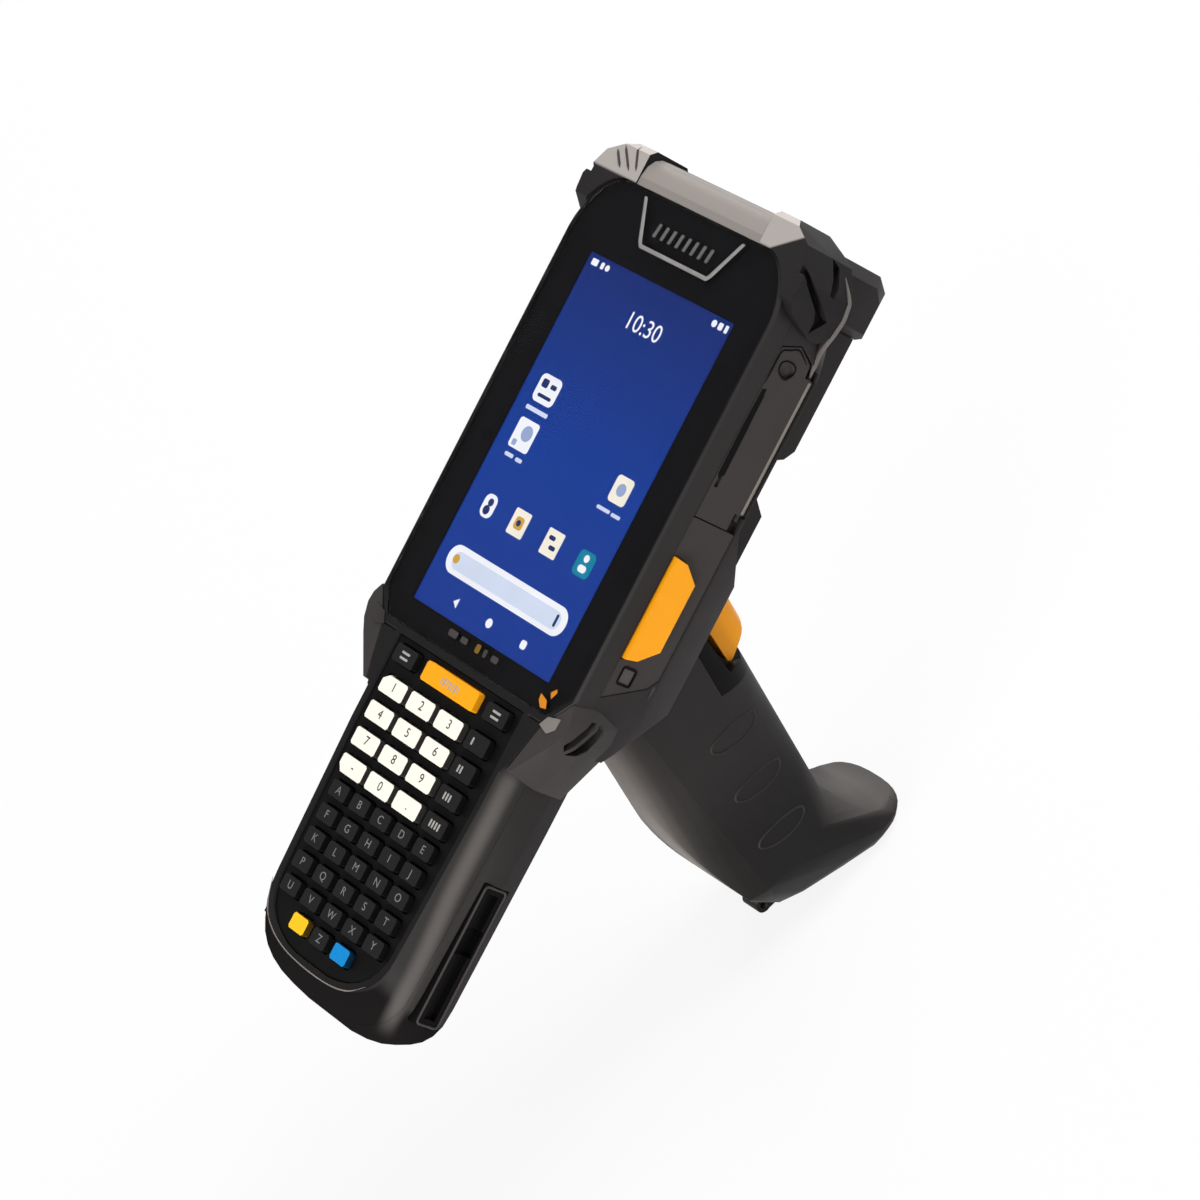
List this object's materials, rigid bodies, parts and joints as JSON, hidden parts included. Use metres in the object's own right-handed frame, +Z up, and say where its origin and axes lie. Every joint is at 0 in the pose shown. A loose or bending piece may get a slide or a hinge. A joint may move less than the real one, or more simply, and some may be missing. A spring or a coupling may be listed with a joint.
{
  "type": "portable barcode data terminal",
  "caption": "Rugged handheld barcode data terminal on a pistol grip, with a touch display, a keypad below it, side scan keys, a hinged port cover and a finger trigger.",
  "frame": {"origin": "Middle of the foot of the grip, on the plane that the terminal stands on, on its plane of left and right symmetry.", "axes": "+X to the right of a person who reads the display, +Y away from that person towards the scan window, +Z up. The display leans back by 26 degrees from level."},
  "size_m": [0.0862, 0.2059, 0.1844],
  "materials": {
    "body_plastic": "fine matt texture",
    "side_plastic": "smooth matt",
    "bumper_rubber": "matt soft-touch",
    "black_plastic": "matt black",
    "cover_glass": "polished, black border",
    "lit_screen": "lit display",
    "frame_metal": "stamped",
    "circuit_board": "solder mask",
    "scan_glass": "dark red tint",
    "steel": "plain",
    "battery_case": "metal can in a sleeve",
    "orange_plastic": "satin",
    "cream_key": "satin",
    "black_key": "satin",
    "yellow_key": "satin",
    "blue_key": "satin"
  },
  "bodies": {
    "chassis": {"front_housing": "body_plastic", "rear_housing": "body_plastic", "display_glass": "cover_glass", "display_panel": "lit_screen", "display_frame": "frame_metal", "main_board": "circuit_board", "keypad_panel": "black_plastic", "keypad_board": "circuit_board", "top_bar": "bumper_rubber", "left_bumper": "bumper_rubber", "right_bumper": "bumper_rubber", "left_ear": "bumper_rubber", "right_ear": "bumper_rubber", "left_side_panel": "side_plastic", "right_side_panel": "side_plastic", "side_rails": "black_plastic", "scan_engine": "frame_metal", "scan_window": "scan_glass", "rear_cover": "body_plastic", "rear_screws": "steel", "grip_shell": "body_plastic", "grip_backstrap": "bumper_rubber", "grip_base": "body_plastic", "grip_battery": "battery_case", "trigger_collar": "black_plastic", "trigger_pin": "steel", "trigger_spring": "steel", "trigger_switch": "black_plastic"},
    "scan_key": {"scan_key": "orange_plastic"},
    "left_menu_key": {"left_menu_key": "black_key"},
    "right_menu_key": {"right_menu_key": "black_key"},
    "number_key_1": {"number_key_1": "cream_key"},
    "number_key_2": {"number_key_2": "cream_key"},
    "number_key_3": {"number_key_3": "cream_key"},
    "number_key_4": {"number_key_4": "cream_key"},
    "number_key_5": {"number_key_5": "cream_key"},
    "number_key_6": {"number_key_6": "cream_key"},
    "number_key_7": {"number_key_7": "cream_key"},
    "number_key_8": {"number_key_8": "cream_key"},
    "number_key_9": {"number_key_9": "cream_key"},
    "number_key_10": {"number_key_10": "cream_key"},
    "number_key_11": {"number_key_11": "cream_key"},
    "number_key_12": {"number_key_12": "cream_key"},
    "function_key_1": {"function_key_1": "black_key"},
    "function_key_2": {"function_key_2": "black_key"},
    "function_key_3": {"function_key_3": "black_key"},
    "function_key_4": {"function_key_4": "black_key"},
    "letter_keys_1": {"letter_keys_1": "black_key"},
    "letter_keys_2": {"letter_keys_2": "black_key"},
    "letter_keys_3": {"letter_keys_3": "black_key"},
    "letter_keys_4": {"letter_keys_4": "black_key"},
    "letter_keys_5": {"letter_keys_5": "black_key"},
    "yellow_key": {"yellow_key": "yellow_key"},
    "middle_key": {"middle_key": "black_key"},
    "blue_key": {"blue_key": "blue_key"},
    "right_scan_key": {"right_scan_key": "orange_plastic"},
    "left_scan_key": {"left_scan_key": "orange_plastic"},
    "side_button": {"side_button": "black_plastic"},
    "trigger": {"trigger": "orange_plastic"},
    "port_cover": {"port_cover": "body_plastic"}
  },
  "joints": [
    {"name": "scan_key_press", "type": "slide", "parent": "chassis", "child": "scan_key", "axis": [0, 0.4384, -0.8988], "range_m": [0, 0.0006], "stiffness_N_per_m": 900},
    {"name": "left_menu_key_press", "type": "slide", "parent": "chassis", "child": "left_menu_key", "axis": [0, 0.4384, -0.8988], "range_m": [0, 0.0006], "stiffness_N_per_m": 900},
    {"name": "right_menu_key_press", "type": "slide", "parent": "chassis", "child": "right_menu_key", "axis": [0, 0.4384, -0.8988], "range_m": [0, 0.0006], "stiffness_N_per_m": 900},
    {"name": "number_key_1_press", "type": "slide", "parent": "chassis", "child": "number_key_1", "axis": [0, 0.4384, -0.8988], "range_m": [0, 0.0006], "stiffness_N_per_m": 900},
    {"name": "number_key_2_press", "type": "slide", "parent": "chassis", "child": "number_key_2", "axis": [0, 0.4384, -0.8988], "range_m": [0, 0.0006], "stiffness_N_per_m": 900},
    {"name": "number_key_3_press", "type": "slide", "parent": "chassis", "child": "number_key_3", "axis": [0, 0.4384, -0.8988], "range_m": [0, 0.0006], "stiffness_N_per_m": 900},
    {"name": "number_key_4_press", "type": "slide", "parent": "chassis", "child": "number_key_4", "axis": [0, 0.4384, -0.8988], "range_m": [0, 0.0006], "stiffness_N_per_m": 900},
    {"name": "number_key_5_press", "type": "slide", "parent": "chassis", "child": "number_key_5", "axis": [0, 0.4384, -0.8988], "range_m": [0, 0.0006], "stiffness_N_per_m": 900},
    {"name": "number_key_6_press", "type": "slide", "parent": "chassis", "child": "number_key_6", "axis": [0, 0.4384, -0.8988], "range_m": [0, 0.0006], "stiffness_N_per_m": 900},
    {"name": "number_key_7_press", "type": "slide", "parent": "chassis", "child": "number_key_7", "axis": [0, 0.4384, -0.8988], "range_m": [0, 0.0006], "stiffness_N_per_m": 900},
    {"name": "number_key_8_press", "type": "slide", "parent": "chassis", "child": "number_key_8", "axis": [0, 0.4384, -0.8988], "range_m": [0, 0.0006], "stiffness_N_per_m": 900},
    {"name": "number_key_9_press", "type": "slide", "parent": "chassis", "child": "number_key_9", "axis": [0, 0.4384, -0.8988], "range_m": [0, 0.0006], "stiffness_N_per_m": 900},
    {"name": "number_key_10_press", "type": "slide", "parent": "chassis", "child": "number_key_10", "axis": [0, 0.4384, -0.8988], "range_m": [0, 0.0006], "stiffness_N_per_m": 900},
    {"name": "number_key_11_press", "type": "slide", "parent": "chassis", "child": "number_key_11", "axis": [0, 0.4384, -0.8988], "range_m": [0, 0.0006], "stiffness_N_per_m": 900},
    {"name": "number_key_12_press", "type": "slide", "parent": "chassis", "child": "number_key_12", "axis": [0, 0.4384, -0.8988], "range_m": [0, 0.0006], "stiffness_N_per_m": 900},
    {"name": "function_key_1_press", "type": "slide", "parent": "chassis", "child": "function_key_1", "axis": [0, 0.4384, -0.8988], "range_m": [0, 0.0006], "stiffness_N_per_m": 900},
    {"name": "function_key_2_press", "type": "slide", "parent": "chassis", "child": "function_key_2", "axis": [0, 0.4384, -0.8988], "range_m": [0, 0.0006], "stiffness_N_per_m": 900},
    {"name": "function_key_3_press", "type": "slide", "parent": "chassis", "child": "function_key_3", "axis": [0, 0.4384, -0.8988], "range_m": [0, 0.0006], "stiffness_N_per_m": 900},
    {"name": "function_key_4_press", "type": "slide", "parent": "chassis", "child": "function_key_4", "axis": [0, 0.4384, -0.8988], "range_m": [0, 0.0006], "stiffness_N_per_m": 900},
    {"name": "letter_keys_1_press", "type": "slide", "parent": "chassis", "child": "letter_keys_1", "axis": [0, 0.4384, -0.8988], "range_m": [0, 0.0006], "stiffness_N_per_m": 1800},
    {"name": "letter_keys_2_press", "type": "slide", "parent": "chassis", "child": "letter_keys_2", "axis": [0, 0.4384, -0.8988], "range_m": [0, 0.0006], "stiffness_N_per_m": 1800},
    {"name": "letter_keys_3_press", "type": "slide", "parent": "chassis", "child": "letter_keys_3", "axis": [0, 0.4384, -0.8988], "range_m": [0, 0.0006], "stiffness_N_per_m": 1800},
    {"name": "letter_keys_4_press", "type": "slide", "parent": "chassis", "child": "letter_keys_4", "axis": [0, 0.4384, -0.8988], "range_m": [0, 0.0006], "stiffness_N_per_m": 1800},
    {"name": "letter_keys_5_press", "type": "slide", "parent": "chassis", "child": "letter_keys_5", "axis": [0, 0.4384, -0.8988], "range_m": [0, 0.0006], "stiffness_N_per_m": 1800},
    {"name": "yellow_key_press", "type": "slide", "parent": "chassis", "child": "yellow_key", "axis": [0, 0.4384, -0.8988], "range_m": [0, 0.0006], "stiffness_N_per_m": 900},
    {"name": "middle_key_press", "type": "slide", "parent": "chassis", "child": "middle_key", "axis": [0, 0.4384, -0.8988], "range_m": [0, 0.0006], "stiffness_N_per_m": 900},
    {"name": "blue_key_press", "type": "slide", "parent": "chassis", "child": "blue_key", "axis": [0, 0.4384, -0.8988], "range_m": [0, 0.0006], "stiffness_N_per_m": 900},
    {"name": "right_scan_key_press", "type": "slide", "parent": "chassis", "child": "right_scan_key", "axis": [-1, 0, 0], "range_m": [0, 0.0008], "stiffness_N_per_m": 900},
    {"name": "left_scan_key_press", "type": "slide", "parent": "chassis", "child": "left_scan_key", "axis": [1, 0, 0], "range_m": [0, 0.0008], "stiffness_N_per_m": 900},
    {"name": "side_button_press", "type": "slide", "parent": "chassis", "child": "side_button", "axis": [-1, 0, 0], "range_m": [0, 0.0008], "stiffness_N_per_m": 900},
    {"name": "trigger_pull", "type": "hinge", "parent": "chassis", "child": "trigger", "pos_m": [0, -0.0017, 0.104], "axis": [-1, 0, 0], "range_deg": [0, 9], "stiffness_Nm_per_rad": 0.15, "deforming": ["trigger_spring"]},
    {"name": "port_cover_hinge", "type": "hinge", "parent": "chassis", "child": "port_cover", "pos_m": [0.0385, 0.02607, 0.1456], "axis": [0, 0.8988, 0.4384], "range_deg": [0, 100]}
  ]
}
